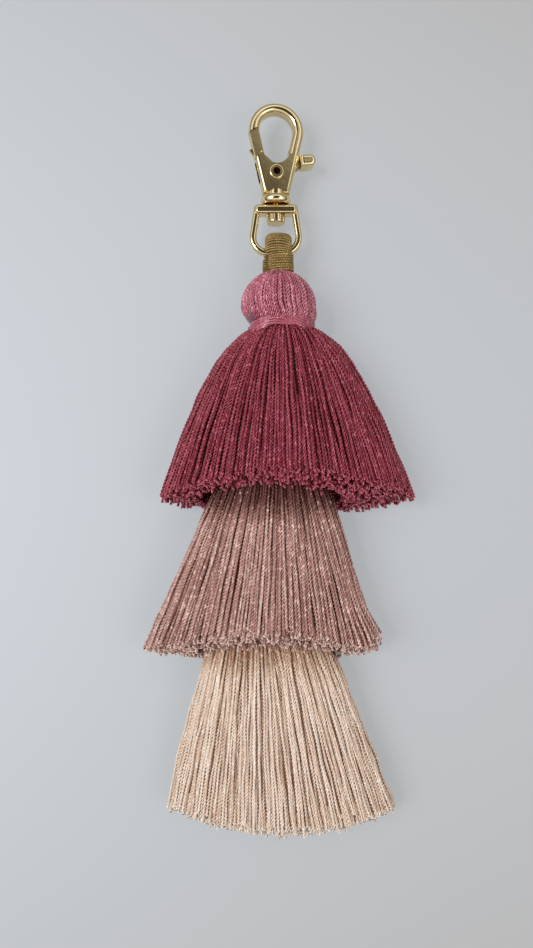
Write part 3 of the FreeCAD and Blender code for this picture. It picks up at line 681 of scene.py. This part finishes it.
def dress_ball():
    """Threads drawn over the bead from the loop's foot down to the neck."""
    rng = random.Random(71)
    side = rounded(HEAD_SIDE, 8)
    count = 92
    lines = []
    for i in range(count):
        turn = 2 * math.pi * i / count + rng.uniform(-0.02, 0.02)
        rank = (0.0, 1.3, 0.6, 1.8)[i % 4]
        line = []
        for radius, y in side:
            crowd = smooth_step(46.5, 50.0, y)
            sunk = rank * crowd + 0.4 + 0.12 * noise.noise(Vector((i * 3.3, y / 4.0, 0)))
            around = turn + 0.018 * noise.noise(Vector((i * 1.9, y / 3.0, 5.0)))
            reach = max(0.4, radius - sunk)
            line.append(Vector((reach * math.cos(around) + neck_shift(y), y - 0.4 * rank * crowd,
                                BALL_Z + reach * math.sin(around))))
        lines.append(walk(line, RING_GAP))
    piece = twist("ball_threads", lines, FRONT_PLIES, RASPBERRY_PAINTED_LIGHTER, rng)
    place(piece, "tassel", "raspberry_thread", "upper_head")
    bm = bmesh.new()
    verts = [bm.verts.new(Vector((max(0.0, radius - 0.6), y, 0.0)) * MM) for radius, y in side]
    bottom = bm.verts.new(Vector((0.0, side[-1][1], 0.0)) * MM)
    top = bm.verts.new(Vector((0.0, side[0][1] - 0.4, 0.0)) * MM)
    chain = [top] + verts + [bottom]
    edges = [bm.edges.new(pair) for pair in zip(chain, chain[1:])]
    bmesh.ops.spin(bm, geom=chain + edges, cent=(0, 0, 0), axis=(0, 1, 0), angle=2 * math.pi,
                   steps=40, use_merge=True)
    bmesh.ops.remove_doubles(bm, verts=bm.verts, dist=1e-6)
    bmesh.ops.translate(bm, verts=bm.verts, vec=(0, 0, BALL_Z * MM))
    bmesh.ops.recalc_face_normals(bm, faces=bm.faces)
    mesh = bpy.data.meshes.new("ball_filler")
    bm.to_mesh(mesh)
    bm.free()
    mesh.shade_smooth()
    mesh.materials.append(RASPBERRY_PAINTED_LIGHTER)
    piece = bpy.data.objects.new("ball_filler", mesh)
    bpy.context.scene.collection.objects.link(piece)
    place(piece, "tassel", "raspberry_thread", "upper_head")


def neck_shift(y):
    """The neck sits a little to one side of the ball."""
    return 0.8 * smooth_step(41.0, 37.6, y)


# the bound top of a lower tier: share of its height, and how wide it is there
BOUND_TOP = ((1.0, 0.34), (0.97, 0.5), (0.85, 0.68), (0.6, 0.86), (0.3, 0.97), (0.0, 1.0))


def dress_small_head(tier):
    """The bound top of a lower tier."""
    rng = random.Random(tier.seed + 9)
    lines = []
    count = 30
    for i in range(count):
        turn = 2 * math.pi * i / count
        u, v = tier.around(turn)
        line = []
        for share, scale in BOUND_TOP:
            y = tier.wrap_top + (tier.head_top - tier.wrap_top) * share
            low, high = tier.low_high(tier.neck_y)
            line.append(Vector((tier.neck_x + u * (tier.neck_half * scale - 0.4), y - 0.3,
                                (low + high) / 2 + v * ((high - low) / 2 * scale - 0.4))))
        lines.append(walk(line, 0.3))
    piece = twist(f"{tier.name}_head_threads", lines, BACK_PLIES, TIER_THREAD[tier.name], rng)
    place(piece, tier.body, SLOTS[tier.name], tier.name + "_head")


# ---- the gold-wound loop ----
LOOP_BEND_Y = 56.1
LOOP_MID = 2.85              # middle of each leg, from the loop's own middle height
LOOP_FOOT_Y = 50.3


def loop_place(along, leg):
    """A point of the loop's middle line, its outward direction and its half width there."""
    bend = math.pi * LOOP_MID
    if along < leg:
        y, out = LOOP_FOOT_Y + along, Vector((0, 0, 1))
        z = METAL_Z + LOOP_MID
    elif along < leg + bend:
        turn = (along - leg) / LOOP_MID
        out = Vector((0, math.sin(turn), math.cos(turn)))
        y, z = LOOP_BEND_Y + LOOP_MID * out.y, METAL_Z + LOOP_MID * out.z
    else:
        y, out = LOOP_BEND_Y - (along - leg - bend), Vector((0, 0, -1))
        z = METAL_Z - LOOP_MID
    low = smooth_step(55.5, 53.6, y)
    if out.z > 0:
        return Vector((0.75 * low, y, z)), out, 3.3 - 0.75 * low
    return Vector((-0.75 * low, y, z)), out, 3.3 - 0.1 * low


def dress_loop():
    """Fine gold thread wound turn by turn along the bent strip."""
    rng = random.Random(83)
    leg = LOOP_BEND_Y - LOOP_FOOT_Y
    whole = 2 * leg + math.pi * LOOP_MID
    pitch, steps = 0.56, 36
    line = []
    for i in range(int(whole / pitch * steps)):
        along = pitch * i / steps
        turn = 2 * math.pi * i / steps
        middle, out, half = loop_place(along, leg)
        across, up = math.cos(turn), math.sin(turn)
        side = squared(across, 0.5) * (half - 0.28)
        proud = squared(up, 0.5) * 0.84
        bow = Vector((0, -out.z, out.y)) * (0.7 * (side / half) ** 2 * max(0.0, out.z))
        shoulder = Vector((0, 0.9, 0)) * (abs(side / half) ** 3 * max(0.0, out.y))
        line.append(middle + Vector((side, 0, 0)) + out * proud + bow - shoulder)
    piece = twist("loop_winding", [walk(line, 0.33)], GOLD_PLIES, GOLD_THREAD, rng, 1.0, 1.1)
    place(piece, "tassel", "gold_thread", "loop_wrap")
    line = []
    pitch, steps = 0.6, 48
    turns = int((53.7 - 49.0) / pitch)
    for i in range(turns * steps):
        turn = 2 * math.pi * i / steps
        across, up = math.cos(turn), math.sin(turn)
        side, proud = squared(across, 0.55), squared(up, 0.55)
        y = 53.75 - pitch * i / steps + 0.06 * noise.noise(Vector((i / 11.0, 0, 0)))
        wide = 2.62 + 0.1 * (53.7 - y) / 3.5
        line.append(Vector((0.75 + side * wide, y, METAL_Z + 1.55 + proud * 2.75)))
    piece = twist("collar_winding", [walk(line, 0.3)], GOLD_PLIES, GOLD_THREAD, rng, 1.15, 1.2)
    place(piece, "tassel", "gold_thread", "collar_wrap")



dress_skirt(UPPER, MIDDLE, ALL_SEEN, 1.25)
dress_skirt(MIDDLE, LOWER, 0.5, 1.35)
dress_skirt(LOWER, None, -33.0, 1.9)
wind_neck(UPPER, 5, 1.5, 0.45, RASPBERRY_PAINTED_LIGHTER)
wind_neck(MIDDLE, 3, 0.0, 0.0, DUSTY_ROSE)
wind_neck(LOWER, 3, 0.0, 0.0, CHAMPAGNE)
dress_ball()
dress_small_head(MIDDLE)
dress_small_head(LOWER)
dress_loop()


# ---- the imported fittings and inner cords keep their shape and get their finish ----
def coat(node, material):
    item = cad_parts[node]
    item.data.materials.clear()
    item.data.materials.append(material)


FITTINGS = "hook_body", "trigger_lever", "trigger_rivet", "trigger_spring", "swivel_rivet", "swivel_ring"
for fitting in FITTINGS:
    coat(fitting, GOLD)
coat("loop_core", GOLD_THREAD)
for cord_node in ("centre_cord", "middle_cord", "middle_knot", "lower_cord", "end_knot"):
    coat(cord_node, INNER_CORD)
coat("head_bead", WOOD)


RIVET_MIDDLE, RIVET_AXIS = Vector((-0.6, 74.8, 6.0)), Vector((0.1392, 0.0, 0.9903))
FOOT_R, FOOT_THICK, FOOT_DEPTH = 0.96, 0.3, 1.2


def close_rivet():
    """The closed foot of the hollow rivet's bore, coloured dark brown as painted shade."""
    bm = bmesh.new()
    bmesh.ops.create_cone(bm, cap_ends=True, segments=32, radius1=FOOT_R * MM, radius2=FOOT_R * MM,
                          depth=FOOT_THICK * MM)
    tip = Vector((0, 0, 1)).rotation_difference(RIVET_AXIS).to_matrix()
    bmesh.ops.rotate(bm, cent=(0, 0, 0), matrix=tip, verts=bm.verts)
    bmesh.ops.translate(bm, vec=(RIVET_MIDDLE - RIVET_AXIS * FOOT_DEPTH) * MM, verts=bm.verts)
    mesh = bpy.data.meshes.new("rivet_foot")
    bm.to_mesh(mesh)
    bm.free()
    mesh.materials.append(RIVET_SHADE)
    piece = bpy.data.objects.new("rivet_foot", mesh)
    bpy.context.scene.collection.objects.link(piece)
    place(piece, "hook", "gold_metal")


close_rivet()


# ---- table, light and camera ----
def light_world():
    """A soft studio: bright all round near the table, darker straight overhead."""
    world = bpy.data.worlds.new("soft_studio")
    world.use_nodes = True
    bpy.context.scene.world = world
    f = Finish(world.node_tree)
    place_up = f.node("ShaderNodeTexCoord", None, None, "Generated")
    height = f.node("ShaderNodeSeparateXYZ", None, {0: place_up}, "Z")
    stops = [(0.0, (0.07, 0.065, 0.06)), (0.18, (0.1, 0.095, 0.09)), (0.34, (0.75, 0.77, 0.8)),
             (0.5, (0.75, 0.77, 0.8)), (0.6, (0.18, 0.17, 0.16)), (0.67, (1.45, 1.47, 1.5)),
             (0.81, (1.45, 1.46, 1.48)), (0.87, (0.11, 0.095, 0.07)), (1.0, (0.06, 0.05, 0.036))]
    colour = f.node("ShaderNodeValToRGB", {"stops": stops}, {0: height})
    seen = f.node("ShaderNodeLightPath", None, None, "Is Camera Ray")
    colour = f.mix(seen, colour, (0.66, 0.68, 0.7, 1.0))
    back = f.node("ShaderNodeBackground", None, {"Color": colour, "Strength": 0.9})
    f.node("ShaderNodeOutputWorld", None, {"Surface": back})


def soft_box(name, position, size, power, colour):
    data = bpy.data.lights.new(name, "AREA")
    data.shape = "DISK"
    data.size = size
    data.energy = power
    data.color = colour
    lamp = bpy.data.objects.new(name, data)
    bpy.context.scene.collection.objects.link(lamp)
    lamp.location = position
    lamp.rotation_euler = (-Vector(position)).to_track_quat("-Z", "Y").to_euler()


def lay_table():
    bm = bmesh.new()
    bmesh.ops.create_grid(bm, x_segments=4, y_segments=4, size=1.5)
    mesh = bpy.data.meshes.new("table_top")
    bm.to_mesh(mesh)
    bm.free()
    mesh.materials.append(table_finish())
    table = bpy.data.objects.new("table_top", mesh)
    bpy.context.scene.collection.objects.link(table)


def set_camera():
    data = bpy.data.cameras.new("overhead_camera")
    data.sensor_fit = "VERTICAL"
    data.sensor_height = 24.0
    data.angle_y = math.radians(67.97)
    data.clip_start = 0.01
    camera = bpy.data.objects.new("overhead_camera", data)
    bpy.context.scene.collection.objects.link(camera)
    camera.location = (-0.0029, 0.0005, 0.180)
    bpy.context.scene.camera = camera


light_world()
soft_box("window", (-0.62, 0.02, 0.75), 0.6, 3.6, (0.97, 0.985, 1.0))
soft_box("lamp", (-0.34, 0.12, 0.75), 0.06, 0.7, (1.0, 0.99, 0.97))
soft_box("fill", (0.6, -0.15, 0.7), 0.6, 1.0, (1.0, 0.96, 0.92))
lay_table()
set_camera()
bpy.context.scene.view_settings.view_transform = "Standard"
